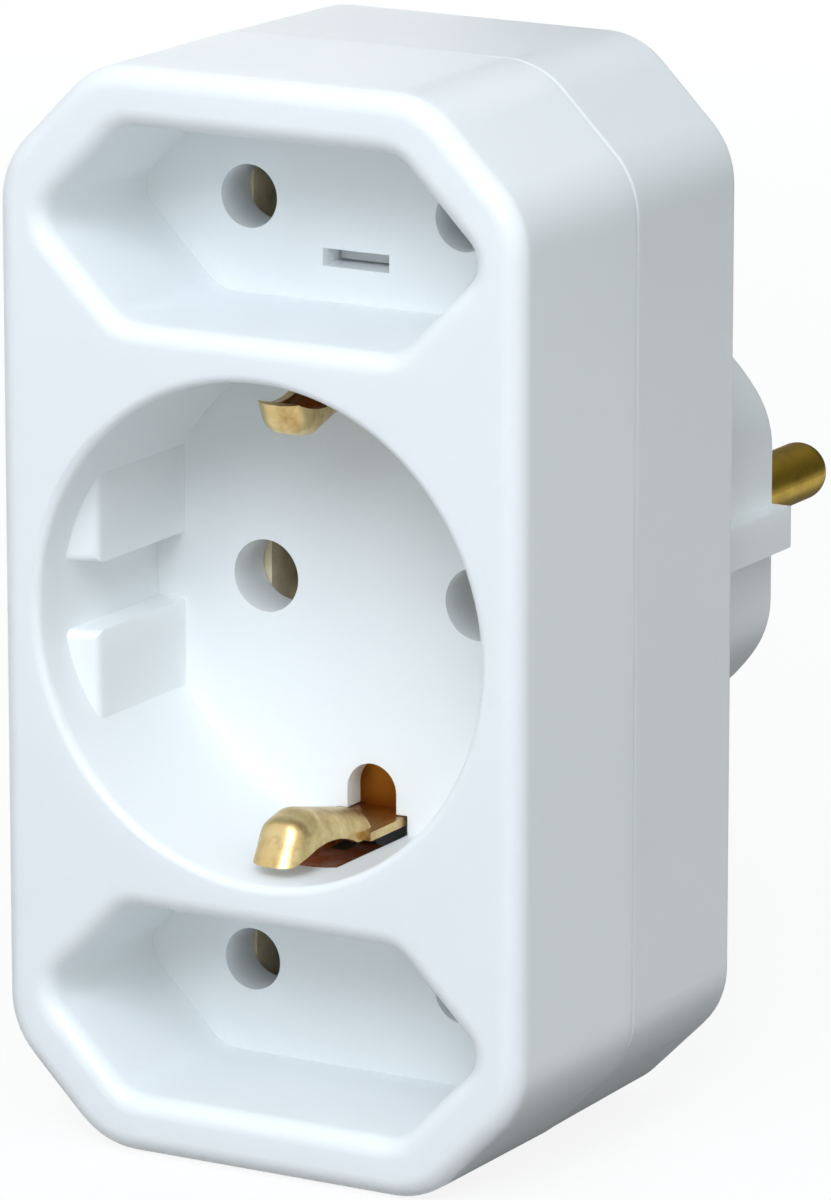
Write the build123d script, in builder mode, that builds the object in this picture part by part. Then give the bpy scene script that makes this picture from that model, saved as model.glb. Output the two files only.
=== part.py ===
from build123d import *
from math import atan, degrees
import os

os.makedirs("parts", exist_ok=True)

# Housing, in millimetres; depth is counted from the front face towards the plug
body_half_w = 22.93
body_half_h = 42.7
body_depth = 34.5
part_depth = 18.0
corner_cut = 8.5
corner_round = 7.0
front_round = 1.6
rear_round = 0.6
rear_step = 0.05
rear_inset = 0.28
seam_round = 0.2
seam_lead = 0.55
wall = 2.4
front_plate = 2.4
rear_plate = 2.0
tongue_thick = 1.1
tongue_root = 2.0

# Pin spacing shared by the plug and by all three outlets
pin_half = 9.5
pin_r = 2.4
shank_r = 2.6
pin_length = 19.0
pin_tip_round = 1.9
pin_collar = 1.0
pin_collar_h = 1.6
pin_tail = 0.75

# Earthed outlet
cup_side = 3.43
cup_depth = 17.5
cup_wall = 1.6
cup_floor = 2.0
cup_lip = 0.7
cup_hole_r = 2.9
cup_collar = 4.4
guide_rise = 2.6
guide_setback = 4.8
guide_slope = 1.3
guide_bite = 0.4
guide_slot_h = 5.4
guide_round = 0.7

# Windows for the earth clips in the floor and in the wall of the earthed outlet
window_half_w = 3.2
window_reach = 1.8
notch_r = 2.2
notch_reach = 3.4
channel_front = 6.7
channel_bite = 1.5

# Flat outlets
flat_end = 4.65
flat_side = 3.28
flat_to_cup = 3.45
flat_depth = 15.2
flat_floor = 1.6
flat_wall = 1.6
flat_lip = 1.5
flat_tip_round = 2.2
flat_bend_round = 3.0
flat_hole_r = 2.5
flat_collar = 4.2
hole_wall = 1.3
web_half_w = 9.0
web_bite = 1.1
hook_half_w = 2.8
hook_thick = 1.1
hook_edge = 3.45
hook_drop = 2.6
hook_collar = 2.0

# Plug nose
nose_length = 19.0
nose_r = 18.4
nose_flat_x = 16.4
nose_wall = 2.0
nose_plate = 2.5
nose_round = 0.9
nose_soft = 8.0
key_x = 18.15
key_half_h = 1.7
groove_half_w = 3.6
groove_z = 15.0

# Central screw and its two bosses
boss_r = 3.5
boss_length = 6.6
tube_r = 4.0
tube_bore_r = 3.1
seat_thick = 3.4
collar_r = 5.0
screw_r = 1.45
screw_length = 8.5
head_r = 2.8
head_h = 2.1
slot_w = 0.8
slot_deep = 1.0

# Contacts and rails
strip = 0.8
leaf = 0.7
leaf_half_gap = 2.2
leaf_base = 6.9
leaf_waist = 1.6
leaf_mouth = 4.2
leaf_flare = 0.9
leaf_bend = 1.1
rail_setback = 2.0
rail_clear = 2.5
rail_over = 3.45
foot_half_w = 3.5
foot_reach = 3.2
post_half_h = 2.0
post_w = 4.4
post_gap = 2.3
rivet_r = 0.8
rivet_head_r = 1.5
rivet_head_h = 0.7
rivet_drop = 4.2

# Earth parts
earth_half_w = 3.0
earth_reach = 1.7
earth_rivet_z = 10.0
link_half_w = 2.2
link_inner = 3.0
link_outer = 2.2
finger_half_w = 2.3
finger_round = 1.9
finger_corner = 1.7
finger_bend = 1.4
finger_skin = 0.7
finger_back = 13.6
finger_crest = 6.2
finger_turn = 3.7
finger_tip = 1.9
finger_edge = 1.0
finger_root_rise = 3.0
finger_crest_rise = 4.75
finger_turn_rise = 4.2
finger_arch = 1.1
upper_lift = 0.3
upper_tip_lift = 1.1
plug_strip_half_w = 2.4
plug_strip_rise = 0.5
plug_bow = 2.3
plug_strip_setback = 2.1

# Clearances
leaf_fit = 0.1
slide_fit = 0.15
tongue_gap = 0.1
tongue_end_gap = 0.2
pin_fit = 0.05
rivet_fit = 0.05

# Derived sizes
reach = body_depth + nose_length
rear_inner = body_depth - rear_plate
nose_inner = reach - nose_plate
cup_r = body_half_w - cup_side
cup_back = cup_depth + cup_floor
cup_hole_back = cup_depth + cup_collar
guide_x = cup_r - guide_rise
guide_front = guide_setback - guide_slope
window_inner_z = cup_r - window_reach
notch_z = cup_r - notch_reach
channel_outer_z = cup_r + channel_bite
flat_half_h = (body_half_h - flat_end - flat_to_cup - cup_r) / 2
flat_z = body_half_h - flat_end - flat_half_h
flat_half_edge = body_half_w - flat_side - flat_half_h
flat_back = flat_depth + flat_floor
flat_hole_back = flat_depth + flat_collar
tongue_length = part_depth - flat_back - tongue_end_gap
web_low = cup_r - web_bite
web_high = cup_r + flat_to_cup + web_bite / 2
hook_z = flat_z - flat_half_h + hook_edge
hook_back = flat_back + hook_collar
boss_end = cup_back + boss_length
tube_seat = boss_end + seat_thick
leaf_front = cup_hole_back + leaf_fit
flat_leaf_front = flat_hole_back + leaf_fit
rail_front = leaf_front + rail_setback
rail_back = rear_inner - rail_clear
rail_width = rail_back - rail_front
rail_x = pin_half + leaf_half_gap + leaf
rail_half_h = flat_z + rail_over
post_z = flat_z - leaf_base - leaf / 2 - post_gap - post_half_h
foot_back = nose_inner - pin_collar_h
earth_z = cup_r - earth_reach
earth_front = cup_back
earth_back = cup_back + strip
finger_edge_z = cup_r - finger_edge
plug_earth_front = body_depth + plug_strip_setback
plug_earth_back = plug_earth_front + strip
rear_taper = degrees(atan((rear_inset - rear_step) / (body_depth - part_depth)))


def at(depth):
    """Sketch plane across the product at a depth; extruding it goes towards the front."""
    return Plane.XZ.offset(reach - depth)


def y_of(depth):
    return depth - reach


def body_outline(depth, inset):
    """Octagon of the housing with soft corners, set in by a distance."""
    cut = corner_cut - inset * 0.5858
    soft = max(corner_round - inset, 1.0)
    with BuildSketch(at(depth)) as sk:
        Rectangle(2 * (body_half_w - inset), 2 * (body_half_h - inset))
        chamfer(sk.vertices(), cut)
        fillet(sk.vertices(), soft)
    return sk.sketch


def flat_outline(depth, grow):
    """Both flat outlets as rounded hexagons, grown by a distance."""
    tip = flat_half_edge + flat_half_h + grow * 1.4142
    edge = flat_half_edge + grow * 0.4142
    half_h = flat_half_h + grow
    with BuildSketch(at(depth)) as sk:
        with Locations((0, flat_z), (0, -flat_z)):
            Polygon((tip, 0), (edge, half_h), (-edge, half_h), (-tip, 0), (-edge, -half_h), (edge, -half_h))
        tips = [v for v in sk.vertices() if abs(v.X) > edge + 1.0]
        fillet(tips, flat_tip_round + grow)
        bends = [v for v in sk.vertices() if abs(abs(v.X) - edge) < 0.01]
        fillet(bends, flat_bend_round + grow)
    return sk.sketch


def disc(depth, radius, *centres):
    """One or more equal circles across the product at a depth."""
    with BuildSketch(at(depth)) as sk:
        with Locations(*(centres or ((0, 0),))):
            Circle(radius)
    return sk.sketch


def block(depth, width, height, *centres):
    """One or more equal rectangles across the product at a depth."""
    with BuildSketch(at(depth)) as sk:
        with Locations(*(centres or ((0, 0),))):
            Rectangle(width, height)
    return sk.sketch


def both_ways(z):
    return (0, z), (0, -z)


def pins(z=0.0):
    return (pin_half, z), (-pin_half, z)


def guide_ribs():
    """Ribs beside the two key slots of the earthed outlet, with a sloping front."""
    outer = cup_r + guide_bite
    with BuildPart() as ribs:
        with BuildSketch(Plane.XY) as plan:
            Polygon(
                (guide_x, y_of(cup_depth)), (guide_x, y_of(guide_setback)),
                (outer, y_of(guide_front)), (outer, y_of(cup_depth)), align=None,
            )
            mirror(about=Plane.YZ)
        extrude(plan.sketch, amount=cup_r, both=True)
        extrude(disc(cup_depth, outer), amount=cup_depth - guide_front, mode=Mode.INTERSECT)
        extrude(block(cup_depth, 4 * cup_r, guide_slot_h), amount=cup_depth, mode=Mode.SUBTRACT)
        soft = [
            e for e in ribs.edges().filter_by(GeomType.LINE)
            if e.center().Y < y_of(guide_setback) + 0.01 and abs(e.center().X) < outer - 0.1
        ]
        fillet(soft, guide_round)
    return ribs.part


# Front shell
with BuildPart() as front_shell:
    extrude(body_outline(part_depth, 0), amount=part_depth)
    fillet(front_shell.faces().sort_by(Axis.Y)[0].edges(), front_round)
    fillet(front_shell.faces().sort_by(Axis.Y)[-1].edges(), seam_round)
    extrude(body_outline(part_depth, wall), amount=part_depth - front_plate, mode=Mode.SUBTRACT)
    # Walls of the three outlets, the solid between them and the screw boss
    extrude(disc(cup_back, cup_r + cup_wall), amount=cup_back - front_plate / 2)
    extrude(flat_outline(flat_back, flat_wall), amount=flat_back - front_plate / 2)
    extrude(
        block(flat_back, 2 * web_half_w, web_high - web_low, *both_ways((web_high + web_low) / 2)),
        amount=flat_back - front_plate / 2,
    )
    extrude(disc(boss_end, boss_r), amount=boss_end - cup_back)
    extrude(disc(boss_end, screw_r + pin_fit), amount=boss_end - cup_back - 0.6, mode=Mode.SUBTRACT)
    # Recesses and their soft lips
    extrude(disc(cup_depth, cup_r), amount=cup_depth, mode=Mode.SUBTRACT)
    extrude(flat_outline(flat_depth, 0), amount=flat_depth, mode=Mode.SUBTRACT)
    for z, radius in ((0, cup_lip), (flat_z, flat_lip), (-flat_z, flat_lip)):
        face = front_shell.faces().sort_by(Axis.Y)[0]
        rims = [w for w in face.inner_wires() if abs(w.bounding_box().center().Z - z) < 1.0]
        fillet(rims[0].edges(), radius)
    # Guide ribs with the key slot between them
    add(guide_ribs())
    # Pin holes with a collar behind each one
    for z, radius, floor, back in (
        (0, cup_hole_r, cup_depth, cup_hole_back),
        (flat_z, flat_hole_r, flat_depth, flat_hole_back),
        (-flat_z, flat_hole_r, flat_depth, flat_hole_back),
    ):
        extrude(disc(back, radius + hole_wall, *pins(z)), amount=back - floor - 0.8)
        extrude(disc(back, radius, *pins(z)), amount=back - floor, mode=Mode.SUBTRACT)
    # Windows and wall channels for the earth clips
    for side in (1, -1):
        with BuildSketch(at(cup_back)) as window:
            with Locations((0, side * (window_inner_z + channel_outer_z) / 2)):
                Rectangle(2 * window_half_w, channel_outer_z - window_inner_z)
            with Locations((0, side * (notch_z + window_inner_z) / 2)):
                Rectangle(2 * notch_r, window_inner_z - notch_z)
            with Locations((0, side * notch_z)):
                Circle(notch_r)
        extrude(window.sketch, amount=cup_floor, mode=Mode.SUBTRACT)
        middle = (0, side * (earth_z + channel_outer_z) / 2)
        extrude(
            block(cup_back, 2 * window_half_w, channel_outer_z - earth_z, middle),
            amount=cup_back - channel_front, mode=Mode.SUBTRACT,
        )
    # Slots for the snap hooks, with a collar behind each one
    slot_w = 2 * (hook_half_w + slide_fit)
    slot_h = hook_thick + 2 * slide_fit
    extrude(
        block(hook_back, slot_w + 2 * hole_wall, slot_h + 2 * hole_wall, *both_ways(hook_z)),
        amount=hook_collar + flat_floor / 2,
    )
    extrude(
        block(hook_back, slot_w, slot_h, *both_ways(hook_z)),
        amount=hook_collar + flat_floor, mode=Mode.SUBTRACT,
    )
front_shell.part.label = "front_shell"
export_step(front_shell.part, "parts/front_shell.step")

# Rear shell with the plug nose
with BuildPart() as rear_shell:
    extrude(body_outline(part_depth, rear_step), amount=-(body_depth - part_depth), taper=rear_taper)
    fillet(rear_shell.faces().sort_by(Axis.Y)[-1].edges(), rear_round)
    fillet(rear_shell.faces().sort_by(Axis.Y)[0].edges(), seam_lead)
    # Nose with side flats, guide keys and earth grooves
    with BuildSketch(at(reach)) as nose:
        Circle(nose_r)
        Rectangle(2 * nose_flat_x, 4 * nose_r, mode=Mode.INTERSECT)
        fillet(nose.vertices(), nose_soft)
        Rectangle(2 * key_x, 2 * key_half_h)
        with Locations(*both_ways(groove_z + nose_r / 2)):
            Rectangle(2 * groove_half_w, nose_r, mode=Mode.SUBTRACT)
    extrude(nose.sketch, amount=nose_length + rear_plate / 2)
    fillet(rear_shell.faces().sort_by(Axis.Y)[-1].edges(), nose_round)
    # Hollow of the housing and of the nose
    extrude(body_outline(rear_inner, rear_step + wall), amount=rear_inner - part_depth, mode=Mode.SUBTRACT)
    with BuildSketch(at(nose_inner)) as hollow:
        Circle(nose_r - nose_wall)
        Rectangle(2 * (nose_flat_x - nose_wall), 4 * nose_r, mode=Mode.INTERSECT)
        with Locations(*both_ways(groove_z - nose_wall + nose_r / 2)):
            Rectangle(2 * (groove_half_w + nose_wall), nose_r, mode=Mode.SUBTRACT)
    extrude(hollow.sketch, amount=nose_inner - rear_inner, mode=Mode.SUBTRACT)
    # Screw tube with a shoulder for the plug earth strip
    extrude(disc(nose_inner, tube_r), amount=nose_inner - boss_end)
    extrude(disc(nose_inner, collar_r), amount=nose_inner - plug_earth_back)
    extrude(disc(reach, tube_bore_r), amount=reach - tube_seat, mode=Mode.SUBTRACT)
    extrude(disc(tube_seat, screw_r + slide_fit), amount=tube_seat - boss_end, mode=Mode.SUBTRACT)
    # Holes for the plug pins and for the earth strip in the grooves
    extrude(disc(reach, shank_r + pin_fit, *pins()), amount=nose_plate, mode=Mode.SUBTRACT)
    extrude(
        block(plug_earth_back + 1.2, 2 * (plug_strip_half_w + slide_fit), nose_wall + 1.0,
              *both_ways(groove_z - nose_wall / 2 + 0.2)),
        amount=strip + 1.4, mode=Mode.SUBTRACT,
    )
    # Posts that carry the rails
    for z in (post_z, -post_z):
        for side in (1, -1):
            post = (side * (rail_x + strip / 2), z)
            rib_length = rear_inner - rail_front - rail_width / 3
            extrude(block(rear_inner, post_w, 2 * post_half_h, post), amount=rib_length)
            groove = block(rail_back, strip + 2 * pin_fit, 2 * post_half_h, post)
            extrude(groove, amount=rail_width, mode=Mode.SUBTRACT)
    # Snap hooks
    extrude(
        block(rear_inner, 2 * hook_half_w, hook_thick, *both_ways(hook_z)),
        amount=rear_inner - flat_depth - hook_drop,
    )
    # Tongue that enters the front shell
    root = part_depth + tongue_root
    extrude(body_outline(root, rear_step + wall - 0.8) - body_outline(root, wall + tongue_gap + tongue_thick),
            amount=tongue_root)
    extrude(body_outline(root, wall + tongue_gap) - body_outline(root, wall + tongue_gap + tongue_thick),
            amount=tongue_root + tongue_length)
    relief = cup_back + slide_fit
    extrude(disc(relief, cup_r + cup_wall + slide_fit), amount=relief - part_depth + tongue_length + 1.0,
            mode=Mode.SUBTRACT)
    extrude(disc(root, cup_r + cup_wall + slide_fit), amount=root - relief, mode=Mode.SUBTRACT)
rear_shell.part.label = "rear_shell"
export_step(rear_shell.part, "parts/rear_shell.step")


def plug_pin(side):
    """Solid round pin with its collar, tail and riveted head."""
    centre = (side * pin_half, 0)
    with BuildPart() as pin:
        extrude(disc(reach + pin_length, pin_r, centre), amount=pin_length)
        fillet(pin.faces().sort_by(Axis.Y)[-1].edges(), pin_tip_round)
        extrude(disc(reach, shank_r, centre), amount=nose_plate)
        extrude(disc(nose_inner, pin_r + pin_collar, centre), amount=nose_inner - foot_back)
        extrude(disc(foot_back, pin_r - pin_tail, centre), amount=2 * strip)
        extrude(disc(foot_back - strip, shank_r, centre), amount=strip)
    return pin


live_pin = plug_pin(1)
live_pin.part.label = "live_pin"
export_step(live_pin.part, "parts/live_pin.step")

neutral_pin = plug_pin(-1)
neutral_pin.part.label = "neutral_pin"
export_step(neutral_pin.part, "parts/neutral_pin.step")


def rivet_places():
    """Height of each rivet and the way its contact opens."""
    return (flat_z - rivet_drop, 1), (-rivet_drop, 1), (-flat_z + rivet_drop, -1)


def contact_rail(side):
    """Strip that joins three contacts, with a tab and a foot for its plug pin."""
    inner = side * rail_x
    with BuildPart() as rail:
        with BuildSketch(Plane.YZ.offset(inner)) as flank:
            with Locations((y_of(rail_front + rail_width / 2), 0)):
                Rectangle(rail_width, 2 * rail_half_h)
            with Locations((y_of((rail_back + foot_back) / 2), 0)):
                Rectangle(foot_back - rail_back, 2 * foot_half_w)
            fillet(flank.vertices().group_by(Axis.Y)[0] + flank.vertices().group_by(Axis.Y)[-1], 1.0)
            for z, way in rivet_places():
                with Locations((y_of(rail_front + rail_width / 2), z)):
                    Circle(rivet_r + rivet_fit, mode=Mode.SUBTRACT)
        extrude(flank.sketch, amount=side * strip)
        foot_inner = pin_half - foot_reach
        middle = side * (foot_inner + rail_x + strip / 2) / 2
        extrude(block(foot_back, rail_x + strip / 2 - foot_inner, 2 * foot_half_w, (middle, 0)), amount=strip)
        extrude(
            disc(foot_back, pin_r - pin_tail + pin_fit, (side * pin_half, 0)),
            amount=strip, mode=Mode.SUBTRACT,
        )
    return rail


live_rail = contact_rail(1)
live_rail.part.label = "live_rail"
export_step(live_rail.part, "parts/live_rail.step")

neutral_rail = contact_rail(-1)
neutral_rail.part.label = "neutral_rail"
export_step(neutral_rail.part, "parts/neutral_rail.step")


def contact(side, z, way, front):
    """Bent spring strip that grips a pin from both sides; its outer leg lies on the rail."""
    mid = leaf_half_gap + leaf / 2
    path = (
        (-mid - leaf_flare, leaf_mouth), (-mid + leaf / 3, leaf_waist), (-mid, -leaf_base + leaf_bend),
        (-mid + leaf_bend, -leaf_base), (mid - leaf_bend, -leaf_base), (mid, -leaf_base + leaf_bend),
        (mid, leaf_mouth - leaf),
    )
    with BuildPart() as clip:
        with BuildSketch(at(rail_back)) as shape:
            with BuildLine() as bend:
                Polyline(*[(side * (pin_half + x), z + way * h) for x, h in path])
            trace(line_width=leaf)
        extrude(shape.sketch, amount=rail_back - front)
        with BuildSketch(Plane.YZ.offset(side * (rail_x - leaf - 0.3))) as hole:
            with Locations((y_of(rail_front + rail_width / 2), z - way * rivet_drop)):
                Circle(rivet_r + rivet_fit)
        extrude(hole.sketch, amount=side * (leaf + 0.3), mode=Mode.SUBTRACT)
    return clip


upper_live_contact = contact(1, flat_z, 1, flat_leaf_front)
upper_live_contact.part.label = "upper_live_contact"
export_step(upper_live_contact.part, "parts/upper_live_contact.step")

upper_neutral_contact = contact(-1, flat_z, 1, flat_leaf_front)
upper_neutral_contact.part.label = "upper_neutral_contact"
export_step(upper_neutral_contact.part, "parts/upper_neutral_contact.step")

middle_live_contact = contact(1, 0, 1, leaf_front)
middle_live_contact.part.label = "middle_live_contact"
export_step(middle_live_contact.part, "parts/middle_live_contact.step")

middle_neutral_contact = contact(-1, 0, 1, leaf_front)
middle_neutral_contact.part.label = "middle_neutral_contact"
export_step(middle_neutral_contact.part, "parts/middle_neutral_contact.step")

lower_live_contact = contact(1, -flat_z, -1, flat_leaf_front)
lower_live_contact.part.label = "lower_live_contact"
export_step(lower_live_contact.part, "parts/lower_live_contact.step")

lower_neutral_contact = contact(-1, -flat_z, -1, flat_leaf_front)
lower_neutral_contact.part.label = "lower_neutral_contact"
export_step(lower_neutral_contact.part, "parts/lower_neutral_contact.step")

# Rivets that hold the contacts to the rails
with BuildPart() as contact_rivets:
    for side in (1, -1):
        for z, way in rivet_places():
            spot = (y_of(rail_front + rail_width / 2), z)
            stack = leaf + strip
            for start, length, radius in (
                (rail_x - leaf - rivet_head_h, rivet_head_h, rivet_head_r),
                (rail_x - leaf, stack, rivet_r),
                (rail_x + strip, rivet_head_h, rivet_head_r),
            ):
                with BuildSketch(Plane.YZ.offset(side * start)) as ring:
                    with Locations(spot):
                        Circle(radius)
                extrude(ring.sketch, amount=side * length)
contact_rivets.part.label = "contact_rivets"
export_step(contact_rivets.part, "parts/contact_rivets.step")


def finger_lifts(side):
    """Extra rise of the crest and the tip, which only the upper finger has."""
    return (upper_lift, upper_tip_lift) if side > 0 else (0.0, 0.0)


def finger_profile(skin, lift, tip_lift):
    """Side view of an earth finger from its root to its turned-out tip, thinned by a skin."""
    return (
        (y_of(finger_back), finger_edge_z + skin), (y_of(finger_back), cup_r - finger_root_rise + skin),
        (y_of(finger_crest), cup_r - finger_crest_rise - lift + skin),
        (y_of(finger_turn + lift + 0.6 * skin), cup_r - finger_turn_rise - lift + skin),
        (y_of(finger_tip + tip_lift + skin), finger_edge_z - tip_lift + skin),
    )


def finger(side, skin):
    """Rounded trough, solid, at the top or bottom of the earthed outlet."""
    lift, tip_lift = finger_lifts(side)
    low_z = finger_edge_z - tip_lift + skin
    with BuildPart() as body:
        with BuildSketch(Plane.YZ) as view:
            Polygon(*[(a, side * b) for a, b in finger_profile(skin, lift, tip_lift)], align=None)
            bends = view.vertices().filter_by(lambda v: abs(v.Y) < low_z - finger_edge)
            near = [v for v in bends if v.X < y_of(finger_back - finger_edge)]
            fillet(near, finger_bend)
        extrude(view.sketch, amount=finger_half_w - skin, both=True)
        crown = [
            e for e in body.edges()
            if abs(abs(e.center().X) - (finger_half_w - skin)) < 0.01
            and abs(e.center().Z) < low_z + tip_lift / 2 - 0.1
            and e.center().Y < y_of(finger_back) - 0.1
        ]
        fillet(crown, finger_round - skin)
        with BuildSketch(Plane.XY) as plan:
            front = finger_tip + tip_lift + skin
            with Locations((0, y_of((front + finger_back) / 2))):
                Rectangle(2 * (finger_half_w - skin), finger_back - front)
            fillet(plan.vertices().group_by(Axis.Y)[0], finger_corner - skin)
        extrude(plan.sketch, amount=side * cup_r, mode=Mode.INTERSECT)
    return body.part


def finger_sides(side):
    """Arch cut out of the sides of an earth finger."""
    lift = finger_lifts(side)[1]
    front = finger_tip + lift + finger_skin
    back = finger_back - finger_bend - finger_skin
    with BuildSketch(Plane.YZ) as view:
        with BuildLine():
            arch = ThreePointArc(
                (y_of(front), side * (finger_edge_z - lift)),
                (y_of((front + back) / 2), side * (finger_edge_z - lift / 2 - finger_arch)),
                (y_of(back), side * finger_edge_z),
            )
            Polyline(arch @ 1, (y_of(back), side * cup_r), (y_of(front), side * cup_r), arch @ 0)
        make_face()
    return view.sketch


# Socket earth bracket: cross strip, two legs through the floor and two sprung fingers
with BuildPart() as earth_bracket:
    with BuildSketch(at(earth_back)) as base:
        Rectangle(2 * earth_half_w, 2 * (earth_z + leaf))
        Circle(boss_r + 1.5)
        Circle(boss_r + slide_fit, mode=Mode.SUBTRACT)
    extrude(base.sketch, amount=strip)
    for side in (1, -1):
        leg = (0, side * (earth_z + leaf / 2))
        extrude(block(earth_back, 2 * earth_half_w, leaf, leg), amount=earth_back - finger_back + finger_bend)
        add(finger(side, 0.0))
        add(finger(side, finger_skin), mode=Mode.SUBTRACT)
        extrude(finger_sides(side), amount=earth_half_w, both=True, mode=Mode.SUBTRACT)
    with BuildSketch(at(earth_back)) as holes:
        with Locations((0, earth_rivet_z)):
            Circle(rivet_r + rivet_fit)
    extrude(holes.sketch, amount=strip, mode=Mode.SUBTRACT)
earth_bracket.part.label = "earth_bracket"
export_step(earth_bracket.part, "parts/earth_bracket.step")

# Plug earth strip: cross strip on the screw tube with a side contact in each groove of the nose
with BuildPart() as plug_earth_strip:
    with BuildSketch(at(plug_earth_back)) as base:
        Rectangle(2 * plug_strip_half_w, 2 * (groove_z + plug_strip_rise + strip / 2))
        Circle(tube_r + plug_strip_half_w)
        Circle(tube_r + slide_fit, mode=Mode.SUBTRACT)
        with Locations((0, earth_rivet_z)):
            Circle(rivet_r + rivet_fit, mode=Mode.SUBTRACT)
    extrude(base.sketch, amount=strip)
    for side in (1, -1):
        low = groove_z + plug_strip_rise
        start = plug_earth_back + plug_strip_setback
        stop = reach - 2 * strip
        path = ((plug_earth_front, low), (start, low), ((start + stop) / 2, groove_z + plug_bow), (stop, low))
        with BuildSketch(Plane.YZ) as shape:
            with BuildLine() as bend:
                FilletPolyline(*[(y_of(d), side * z) for d, z in path], radius=nose_r / 6)
            trace(line_width=strip)
        extrude(shape.sketch, amount=plug_strip_half_w, both=True)
plug_earth_strip.part.label = "plug_earth_strip"
export_step(plug_earth_strip.part, "parts/plug_earth_strip.step")

# Earth link between the two earth strips
with BuildPart() as earth_link:
    with BuildSketch(Plane.YZ) as shape:
        with BuildLine() as bend:
            FilletPolyline(
                (y_of(earth_back + strip / 2), earth_rivet_z + link_outer),
                (y_of(earth_back + strip / 2), earth_rivet_z - link_inner),
                (y_of(plug_earth_front - strip / 2), earth_rivet_z - link_inner),
                (y_of(plug_earth_front - strip / 2), earth_rivet_z + link_outer),
                radius=1.0,
            )
        trace(line_width=strip)
    extrude(shape.sketch, amount=link_half_w, both=True)
    extrude(
        disc(plug_earth_front, rivet_r + rivet_fit, (0, earth_rivet_z)), amount=plug_earth_front - earth_back,
        mode=Mode.SUBTRACT,
    )
earth_link.part.label = "earth_link"
export_step(earth_link.part, "parts/earth_link.step")

# Rivets of the earth link
with BuildPart() as earth_rivets:
    for front, length in ((earth_front, 2 * strip), (plug_earth_front - strip, 2 * strip)):
        extrude(disc(front + length, rivet_r, (0, earth_rivet_z)), amount=length)
        extrude(disc(front + length + rivet_head_h, rivet_head_r, (0, earth_rivet_z)), amount=rivet_head_h)
    extrude(
        disc(plug_earth_front - strip, rivet_head_r, (0, earth_rivet_z)), amount=rivet_head_h,
    )
earth_rivets.part.label = "earth_rivets"
export_step(earth_rivets.part, "parts/earth_rivets.step")

# Housing screw with a slotted cheese head
with BuildPart() as housing_screw:
    extrude(disc(tube_seat + head_h, head_r), amount=head_h)
    fillet(housing_screw.faces().sort_by(Axis.Y)[-1].edges(), 0.4)
    extrude(disc(tube_seat, screw_r), amount=screw_length)
    chamfer(housing_screw.faces().sort_by(Axis.Y)[0].edges(), 0.4)
    extrude(
        block(tube_seat + head_h, 4 * head_r, slot_w), amount=slot_deep, mode=Mode.SUBTRACT,
    )
housing_screw.part.label = "housing_screw"
export_step(housing_screw.part, "parts/housing_screw.step")
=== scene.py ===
import math

import bpy
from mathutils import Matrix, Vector


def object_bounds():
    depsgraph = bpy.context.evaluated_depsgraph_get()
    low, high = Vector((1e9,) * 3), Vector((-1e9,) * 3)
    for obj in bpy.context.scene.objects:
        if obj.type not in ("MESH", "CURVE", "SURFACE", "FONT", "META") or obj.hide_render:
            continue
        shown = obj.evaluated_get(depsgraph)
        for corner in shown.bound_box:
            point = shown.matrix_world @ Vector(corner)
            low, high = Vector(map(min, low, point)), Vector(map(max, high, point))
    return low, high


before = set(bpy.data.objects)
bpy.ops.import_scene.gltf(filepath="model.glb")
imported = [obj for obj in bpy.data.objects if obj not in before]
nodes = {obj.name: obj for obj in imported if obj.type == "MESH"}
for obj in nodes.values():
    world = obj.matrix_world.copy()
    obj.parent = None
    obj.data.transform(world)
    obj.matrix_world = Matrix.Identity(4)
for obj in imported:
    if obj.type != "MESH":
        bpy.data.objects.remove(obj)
cad_low, cad_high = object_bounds()
MM = 0.001

# Camera fitted to the photograph, in metres and degrees
CAMERA_TARGET = Vector((5.38 * MM, -38.5 * MM, 0.40 * MM))
CAMERA_AZIMUTH = 30.05
CAMERA_ELEVATION = 13.78
CAMERA_DISTANCE = 638.65 * MM
CAMERA_NEAR = 0.01
CAMERA_FAR = 50.0
LENS_MM = 249.45
SENSOR_MM = 36.0

# Ranges of noise and shares that several materials use, and the depth of fine relief
NONE_TO_ALL = (0.0, 1.0)
ALL_TO_NONE = (1.0, 0.0)
NOISE_MIDDLE = (0.3, 0.7)
RELIEF_DEPTH = 0.02 * MM

# White plastic: tones of its flow marks, specks, smudges, orange peel and light that passes through
PLASTIC_LOW = (0.895, 0.927, 0.938)
PLASTIC_HIGH = (0.914, 0.942, 0.951)
FRONT_SHADE = 1.0
# The rear shell is painted a little darker: painted shade, as its sides face slightly away from the lamps
# in front
REAR_PAINTED_SHADE = 0.94
FLOW_STRETCH = (1.0, 0.45, 0.6)
FLOW_SCALE = 60.0
SPECK_COLOUR = (0.70, 0.71, 0.71)
SPECK_SCALE = 2600.0
SPECK_NOISE = (0.72, 0.85)
SPECK_SHARE = (0.0, 0.12)
SMUDGE_SCALE = 90.0
SMUDGE_NOISE = (0.2, 0.8)
PLASTIC_ROUGH = (0.29, 0.37)
PLASTIC_IOR = 1.5
PEEL_SCALE = 900.0
PEEL_STRENGTH = 0.05
GLOW_SHARE = 0.3
GLOW_DEPTH = 3.0 * MM

# Red-brown painted shade and painted reflection of brass in the channels behind the earth clips: sizes of
# the coordinates that it covers, in millimetres
CHANNEL_SHADE_COLOUR = (0.50, 0.12, 0.018)
CHANNEL_SHADE_REACH = (("X", -1.0, 3.3), ("Y", 34.0, 46.9), ("Z", 19.75, 21.4))
CHANNEL_SHADE_EDGE = 0.15
CHANNEL_SHADE_SCALE = 700.0
CHANNEL_SHADE_NOISE = (0.25, 0.6)
CHANNEL_SHADE_SHARE = (0.75, 1.0)
CHANNEL_SHADE_SPECULAR = (0.5, 0.15)
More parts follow.
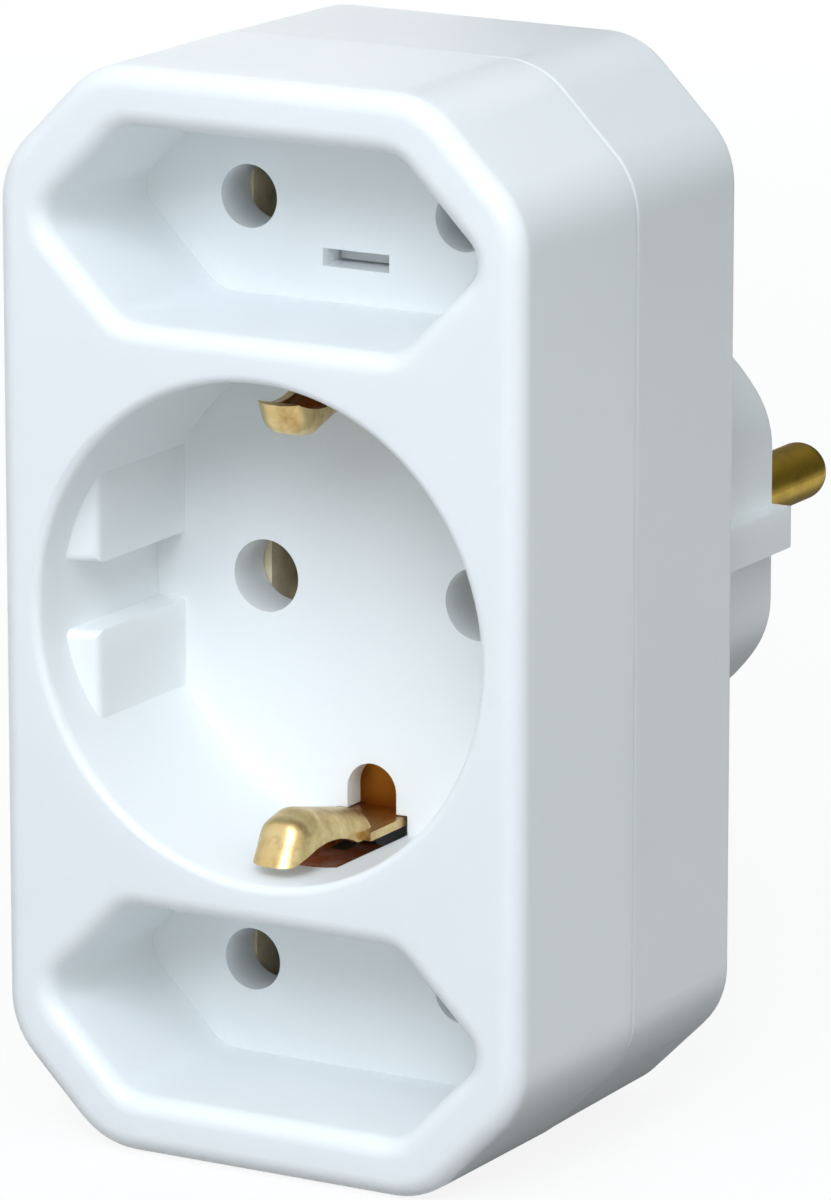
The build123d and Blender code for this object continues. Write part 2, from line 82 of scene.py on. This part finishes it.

# Brass: scale of its fine lines in x and z, tarnish, and painted shade that darkens the rear end of the
# clips
LINES_ACROSS = 60.0
LINES_NOISE = (0.25, 0.75)
LINES_STRENGTH = 0.08
ROUGH_STEP = 0.08
TARNISH_SCALE = 420.0
TARNISH_NOISE = (0.46, 0.70)
TARNISH_SHARE = (0.0, 0.75)
CLIP_END_SHADE_COLOUR = (0.25, 0.085, 0.010)
CLIP_END_SHADE_LENGTH = 3.5 * MM

# Plated screw
STEEL_GREY = (0.50, 0.52, 0.55)
STEEL_WARM = (0.66, 0.66, 0.62)
STEEL_ROUGH = (0.26, 0.42)
MOTTLE_SCALE = 900.0
RING_SCALE = 900.0
RING_WAVER = 0.6
RING_STRENGTH = 0.10

# Studio, in metres and watts
MIDDLE = (cad_low + cad_high) / 2
SKY_COLOUR = (0.935, 0.99, 0.985, 1.0)
SKY_WAY = (0.56, -0.78, 0.27)
SKY_STRENGTH = (0.01, 0.82)
FLOOR_HALF = 3.0
FLOOR_DROP = 0.05 * MM
FLOOR_SEEN = (0.94, 0.95, 0.96)
FLOOR_BOUNCE = (0.31, 0.31, 0.31)
FLOOR_GLOW = 0.88
CARD_DROP = 0.03 * MM
BACK_CARD_TONE = (0.12, 0.12, 0.12, 1.0)
UNDER_CARD_TONE = (0.20, 0.20, 0.20, 1.0)
LAMP_DISTANCE = 0.8
COOL_TINT = (0.825, 0.875, 0.968)
BACK_TINT = (0.90, 0.95, 1.0)


# Node helpers
def empty_tree(owner):
    """The node tree of a material or a world, with nothing in it."""
    owner.use_nodes = True
    owner.node_tree.nodes.clear()
    return owner.node_tree


def feed(tree, value, socket):
    """A socket gets a link from another socket, or a constant."""
    if isinstance(value, bpy.types.NodeSocket):
        tree.links.new(value, socket)
    else:
        socket.default_value = value


def maths(tree, operation, *values):
    """Result of one maths operation on sockets or constants."""
    node = tree.nodes.new("ShaderNodeMath")
    node.operation = operation
    for socket, value in zip(node.inputs, values):
        feed(tree, value, socket)
    return node.outputs[0]


def place(tree, scale=(1.0, 1.0, 1.0)):
    """Coordinates of the shared frame, in metres, stretched by a scale."""
    coords = tree.nodes.new("ShaderNodeTexCoord")
    mapping = tree.nodes.new("ShaderNodeMapping")
    mapping.inputs["Scale"].default_value = scale
    tree.links.new(coords.outputs["Object"], mapping.inputs["Vector"])
    return mapping.outputs["Vector"]


def axes(tree, vector):
    """The X, Y and Z outputs of a vector."""
    node = tree.nodes.new("ShaderNodeSeparateXYZ")
    tree.links.new(vector, node.inputs["Vector"])
    return node.outputs


def noise(tree, vector, scale, detail, rough):
    """Grey noise with its mean near one half."""
    node = tree.nodes.new("ShaderNodeTexNoise")
    node.inputs["Scale"].default_value = scale
    node.inputs["Detail"].default_value = detail
    node.inputs["Roughness"].default_value = rough
    tree.links.new(vector, node.inputs["Vector"])
    return node.outputs["Fac"]


def remap(tree, value, source, target):
    """Value taken from one range to another and kept inside it."""
    node = tree.nodes.new("ShaderNodeMapRange")
    node.clamp = True
    node.inputs["From Min"].default_value = source[0]
    node.inputs["From Max"].default_value = source[1]
    node.inputs["To Min"].default_value = target[0]
    node.inputs["To Max"].default_value = target[1]
    tree.links.new(value, node.inputs["Value"])
    return node.outputs["Result"]


def blend_colour(tree, factor, first, second):
    """Colour between two others; each is a tuple or a socket."""
    node = tree.nodes.new("ShaderNodeMix")
    node.data_type = "RGBA"
    tree.links.new(factor, node.inputs["Factor"])
    for socket, value in ((node.inputs[6], first), (node.inputs[7], second)):
        if isinstance(value, tuple):
            value = (*value, 1.0)
        feed(tree, value, socket)
    return node.outputs[2]


def blend_shader(tree, factor, first, second, target):
    """Mix of two shader outputs on a target socket."""
    node = tree.nodes.new("ShaderNodeMixShader")
    tree.links.new(factor, node.inputs["Fac"])
    tree.links.new(first, node.inputs[1])
    tree.links.new(second, node.inputs[2])
    tree.links.new(node.outputs["Shader"], target)


def add_bump(tree, shader, height, strength):
    """Small relief on a shader."""
    node = tree.nodes.new("ShaderNodeBump")
    node.inputs["Strength"].default_value = strength
    node.inputs["Distance"].default_value = RELIEF_DEPTH
    tree.links.new(height, node.inputs["Height"])
    tree.links.new(node.outputs["Normal"], shader.inputs["Normal"])


# Materials of the part
def new_material(name):
    """A node material with its output and main shader joined."""
    mat = bpy.data.materials.new(name)
    tree = empty_tree(mat)
    out = tree.nodes.new("ShaderNodeOutputMaterial")
    shader = tree.nodes.new("ShaderNodeBsdfPrincipled")
    tree.links.new(shader.outputs["BSDF"], out.inputs["Surface"])
    return mat, tree, shader


def within(tree, value, low, high):
    """One where the size of a coordinate lies between two bounds, zero outside, with soft ends."""
    size = maths(tree, "ABSOLUTE", value)
    above = remap(tree, size, ((low - CHANNEL_SHADE_EDGE) * MM, low * MM), NONE_TO_ALL)
    below = remap(tree, size, (high * MM, (high + CHANNEL_SHADE_EDGE) * MM), ALL_TO_NONE)
    return maths(tree, "MULTIPLY", above, below)


def channel_painted_shade(tree, here):
    """Share of red-brown painted shade and painted brass reflection in the wall channels behind the earth
    clips.
    """
    split = axes(tree, here)
    grain = noise(tree, here, CHANNEL_SHADE_SCALE, detail=3.0, rough=0.6)
    total = remap(tree, grain, CHANNEL_SHADE_NOISE, CHANNEL_SHADE_SHARE)
    for axis, low, high in CHANNEL_SHADE_REACH:
        total = maths(tree, "MULTIPLY", total, within(tree, split[axis], low, high))
    return total


def white_plastic(name, shade, paint_channel_shade):
    """Glossy moulded plastic, cool white, with faint flow marks, smudges and orange peel."""
    mat, tree, shader = new_material(name)
    here = place(tree)
    flow = noise(tree, place(tree, FLOW_STRETCH), FLOW_SCALE, detail=2.0, rough=0.5)
    low, high = [tuple(shade * c for c in tone) for tone in (PLASTIC_LOW, PLASTIC_HIGH)]
    colour = blend_colour(tree, remap(tree, flow, NOISE_MIDDLE, NONE_TO_ALL), low, high)
    specks = noise(tree, here, SPECK_SCALE, detail=2.0, rough=0.6)
    colour = blend_colour(tree, remap(tree, specks, SPECK_NOISE, SPECK_SHARE), colour, SPECK_COLOUR)
    if paint_channel_shade:
        # Red-brown painted shade and painted brass reflection in the clip channels, with less specular
        # there
        channel_shade = channel_painted_shade(tree, here)
        colour = blend_colour(tree, channel_shade, colour, CHANNEL_SHADE_COLOUR)
        specular = remap(tree, channel_shade, NONE_TO_ALL, CHANNEL_SHADE_SPECULAR)
        tree.links.new(specular, shader.inputs["Specular IOR Level"])
    tree.links.new(colour, shader.inputs["Base Color"])
    smudge = noise(tree, here, SMUDGE_SCALE, detail=3.0, rough=0.5)
    tree.links.new(remap(tree, smudge, SMUDGE_NOISE, PLASTIC_ROUGH), shader.inputs["Roughness"])
    shader.inputs["IOR"].default_value = PLASTIC_IOR
    shader.subsurface_method = "BURLEY"
    shader.inputs["Subsurface Weight"].default_value = GLOW_SHARE
    shader.inputs["Subsurface Radius"].default_value = (1.0, 1.0, 1.0)
    shader.inputs["Subsurface Scale"].default_value = GLOW_DEPTH
    add_bump(tree, shader, noise(tree, here, PEEL_SCALE, detail=1.0, rough=0.5), PEEL_STRENGTH)
    return mat


def brass(name, light, dark, tarnish, line_scale, rough, metal=1.0, shade_from=None):
    """Metal strip or rod: fine lines across the depth, uneven tarnish, and painted shade that turns it dark
    brown behind a depth.
    """
    mat, tree, shader = new_material(name)
    here = place(tree)
    stretch = (LINES_ACROSS, line_scale, LINES_ACROSS)
    lines = noise(tree, place(tree, stretch), 1.0, detail=4.0, rough=0.65)
    colour = blend_colour(tree, remap(tree, lines, NOISE_MIDDLE, NONE_TO_ALL), light, dark)
    patches = noise(tree, here, TARNISH_SCALE, detail=5.0, rough=0.65)
    colour = blend_colour(tree, remap(tree, patches, TARNISH_NOISE, TARNISH_SHARE), colour, tarnish)
    # Painted shade: the clips turn dark brown towards their rear end behind the floor
    if shade_from is not None:
        ends = (shade_from, shade_from + CLIP_END_SHADE_LENGTH)
        end_shade = remap(tree, axes(tree, here)["Y"], ends, NONE_TO_ALL)
        colour = blend_colour(tree, end_shade, colour, CLIP_END_SHADE_COLOUR)
    tree.links.new(colour, shader.inputs["Base Color"])
    gloss = remap(tree, lines, LINES_NOISE, (rough, rough + ROUGH_STEP))
    tree.links.new(gloss, shader.inputs["Roughness"])
    shader.inputs["Metallic"].default_value = metal
    add_bump(tree, shader, lines, LINES_STRENGTH)
    return mat


def plated_steel(name):
    """Zinc plated screw: turned rings on the head and a mottled passivation."""
    mat, tree, shader = new_material(name)
    here = place(tree)
    mottle = noise(tree, here, MOTTLE_SCALE, detail=4.0, rough=0.6)
    colour = blend_colour(tree, remap(tree, mottle, NOISE_MIDDLE, NONE_TO_ALL), STEEL_GREY, STEEL_WARM)
    tree.links.new(colour, shader.inputs["Base Color"])
    rings = tree.nodes.new("ShaderNodeTexWave")
    rings.wave_type = "RINGS"
    rings.rings_direction = "Y"
    rings.inputs["Scale"].default_value = RING_SCALE
    rings.inputs["Distortion"].default_value = RING_WAVER
    tree.links.new(here, rings.inputs["Vector"])
    gloss = remap(tree, rings.outputs["Fac"], NONE_TO_ALL, STEEL_ROUGH)
    tree.links.new(gloss, shader.inputs["Roughness"])
    shader.inputs["Metallic"].default_value = 1.0
    add_bump(tree, shader, rings.outputs["Fac"], RING_STRENGTH)
    return mat


def dress(material, *names):
    """One material on whole CAD nodes."""
    for name in names:
        node = nodes[name]
        node.data.materials.clear()
        node.data.materials.append(material)


# Each piece gets its material
# The front shell gets painted shade and painted brass reflection in its clip channels
front_plastic = white_plastic("front_plastic", FRONT_SHADE, paint_channel_shade=True)
# The rear shell's plastic is darkened: painted shade on its backward-facing sides
rear_plastic = white_plastic("rear_plastic", REAR_PAINTED_SHADE, paint_channel_shade=False)
clip_brass = brass(
    "clip_brass",
    light=(0.75, 0.60, 0.31),
    dark=(0.63, 0.46, 0.19),
    tarnish=(0.35, 0.19, 0.05),
    line_scale=900.0,
    rough=0.29,
    shade_from=-37.8 * MM,
)
earth_brass = brass(
    "earth_brass",
    light=(0.70, 0.56, 0.31),
    dark=(0.62, 0.48, 0.25),
    tarnish=(0.40, 0.27, 0.11),
    line_scale=700.0,
    rough=0.19,
)
# The contacts are pale and not metallic: painted light, standing in for light that reaches them deep in the
# pin holes
contact_brass = brass(
    "contact_brass",
    light=(0.97, 0.86, 0.63),
    dark=(0.92, 0.80, 0.55),
    tarnish=(0.70, 0.56, 0.35),
    line_scale=900.0,
    rough=0.36,
    metal=0.0,
)
plug_brass = brass(
    "plug_brass",
    light=(0.50, 0.335, 0.022),
    dark=(0.42, 0.275, 0.017),
    tarnish=(0.27, 0.17, 0.010),
    line_scale=1500.0,
    rough=0.30,
)
dress(front_plastic, "front_shell")
dress(rear_plastic, "rear_shell")
dress(clip_brass, "earth_bracket")
dress(earth_brass, "plug_earth_strip", "earth_link", "earth_rivets")
dress(plug_brass, "live_pin", "neutral_pin")
dress(contact_brass, *[n for n in nodes if n.endswith(("_contact", "_rail")) or n == "contact_rivets"])
dress(plated_steel("screw_steel"), "housing_screw")


# Studio
def level(x, y, z):
    """Corners of a level sheet between two x and two y values."""
    return [(x[0], y[0], z), (x[1], y[0], z), (x[1], y[1], z), (x[0], y[1], z)]


def upright(x, y, z):
    """Corners of an upright sheet between two x and two z values."""
    return [(x[0], y, z[0]), (x[1], y, z[0]), (x[1], y, z[1]), (x[0], y, z[1])]


def sheet(name, corners):
    """Studio sheet with an empty material, and the socket for its surface."""
    mesh = bpy.data.meshes.new(name)
    mesh.from_pydata(corners, [], [(0, 1, 2, 3)])
    thing = bpy.data.objects.new(name, mesh)
    bpy.context.scene.collection.objects.link(thing)
    mat = bpy.data.materials.new(name)
    tree = empty_tree(mat)
    out = tree.nodes.new("ShaderNodeOutputMaterial")
    mesh.materials.append(mat)
    return thing, tree, out.inputs["Surface"]


def white_to_camera(tree):
    """One for rays from the camera, off metal or through glass, and zero for the light on surfaces."""
    path = tree.nodes.new("ShaderNodeLightPath")
    total = path.outputs["Is Camera Ray"]
    for name in ("Is Glossy Ray", "Is Transmission Ray"):
        total = maths(tree, "MAXIMUM", total, path.outputs[name])
    return total


def make_floor():
    """Pale studio floor under the housing that keeps a light shadow."""
    span = (-FLOOR_HALF, FLOOR_HALF)
    floor, tree, surface = sheet("studio_floor", level(span, span, cad_low.z - FLOOR_DROP))
    plain = tree.nodes.new("ShaderNodeBsdfDiffuse")
    seen = white_to_camera(tree)
    tone = blend_colour(tree, seen, FLOOR_BOUNCE, FLOOR_SEEN)
    tree.links.new(tone, plain.inputs["Color"])
    glow = tree.nodes.new("ShaderNodeEmission")
    glow.inputs["Strength"].default_value = 1.0
    share = maths(tree, "MULTIPLY", seen, FLOOR_GLOW)
    blend_shader(tree, share, plain.outputs["BSDF"], glow.outputs["Emission"], surface)


def make_world():
    """Soft studio light, stronger from above and in front, white where the camera or metal sees it."""
    world = bpy.data.worlds.new("studio")
    bpy.context.scene.world = world
    tree = empty_tree(world)
    out = tree.nodes.new("ShaderNodeOutputWorld")
    soft = tree.nodes.new("ShaderNodeBackground")
    soft.inputs["Color"].default_value = SKY_COLOUR
    coords = tree.nodes.new("ShaderNodeTexCoord")
    facing = tree.nodes.new("ShaderNodeVectorMath")
    facing.operation = "DOT_PRODUCT"
    facing.inputs[1].default_value = Vector(SKY_WAY).normalized()
    tree.links.new(coords.outputs["Generated"], facing.inputs[0])
    strength = remap(tree, facing.outputs["Value"], (-1.0, 1.0), SKY_STRENGTH)
    tree.links.new(strength, soft.inputs["Strength"])
    white = tree.nodes.new("ShaderNodeBackground")
    white.inputs["Color"].default_value = (1.0, 1.0, 1.0, 1.0)
    white.inputs["Strength"].default_value = 1.0
    seen = white_to_camera(tree)
    blend_shader(tree, seen, soft.outputs["Background"], white.outputs["Background"], out.inputs["Surface"])


def dark_card(name, corners, tone):
    """Dark studio card that only glossy surfaces see."""
    card, tree, surface = sheet(name, corners)
    dim = tree.nodes.new("ShaderNodeEmission")
    dim.inputs["Color"].default_value = tone
    tree.links.new(dim.outputs["Emission"], surface)
    card.visible_camera = False
    card.visible_diffuse = False
    card.visible_transmission = False
    card.visible_volume_scatter = False
    card.visible_shadow = False


def aim(thing, middle, way, distance):
    """Adds a lamp or camera to the scene, at a distance from a point and turned to it."""
    thing.location = middle + way * distance
    thing.rotation_mode = "QUATERNION"
    thing.rotation_quaternion = (-way).to_track_quat("-Z", "Y")
    bpy.context.scene.collection.objects.link(thing)


def softbox(name, way, size, power, tint):
    """Square studio light that faces the middle of the housing."""
    light = bpy.data.lights.new(name, "AREA")
    light.shape = "SQUARE"
    light.color = tint
    light.size = size
    light.energy = power
    lamp = bpy.data.objects.new(name, light)
    aim(lamp, MIDDLE, Vector(way).normalized(), LAMP_DISTANCE)
    return lamp


def make_camera():
    """Long lens at the angle of the photograph."""
    azimuth = math.radians(CAMERA_AZIMUTH)
    elevation = math.radians(CAMERA_ELEVATION)
    flat = math.cos(elevation)
    way = Vector((math.sin(azimuth) * flat, -math.cos(azimuth) * flat, math.sin(elevation)))
    data = bpy.data.cameras.new("camera")
    data.sensor_fit = "AUTO"
    data.sensor_width = SENSOR_MM
    data.lens = LENS_MM
    data.clip_start = CAMERA_NEAR
    data.clip_end = CAMERA_FAR
    camera = bpy.data.objects.new("camera", data)
    aim(camera, CAMERA_TARGET, way, CAMERA_DISTANCE)
    bpy.context.scene.camera = camera


make_floor()
make_world()
back_corners = upright(x=(-0.18, 0.42), y=0.30, z=(-0.11, 0.23))
dark_card("dark_card_back", back_corners, BACK_CARD_TONE)
# Card under the housing: painted shadow of the floor beneath it, seen only in reflections
under_corners = level(x=(-0.03, 0.032), y=(-0.05, 0.18), z=cad_low.z - CARD_DROP)
dark_card("dark_card_under", under_corners, UNDER_CARD_TONE)
softbox("key_light", way=(0.235, -0.745, 0.625), size=0.40, power=3.70, tint=COOL_TINT)
softbox("top_light", way=(0.104, -0.489, 0.866), size=0.50, power=0.72, tint=COOL_TINT)
back_light = softbox("back_light", way=(-0.48, 0.87, 0.10), size=0.25, power=2.60, tint=BACK_TINT)
back_light.visible_glossy = False
make_camera()
bpy.context.scene.view_settings.view_transform = "Standard"
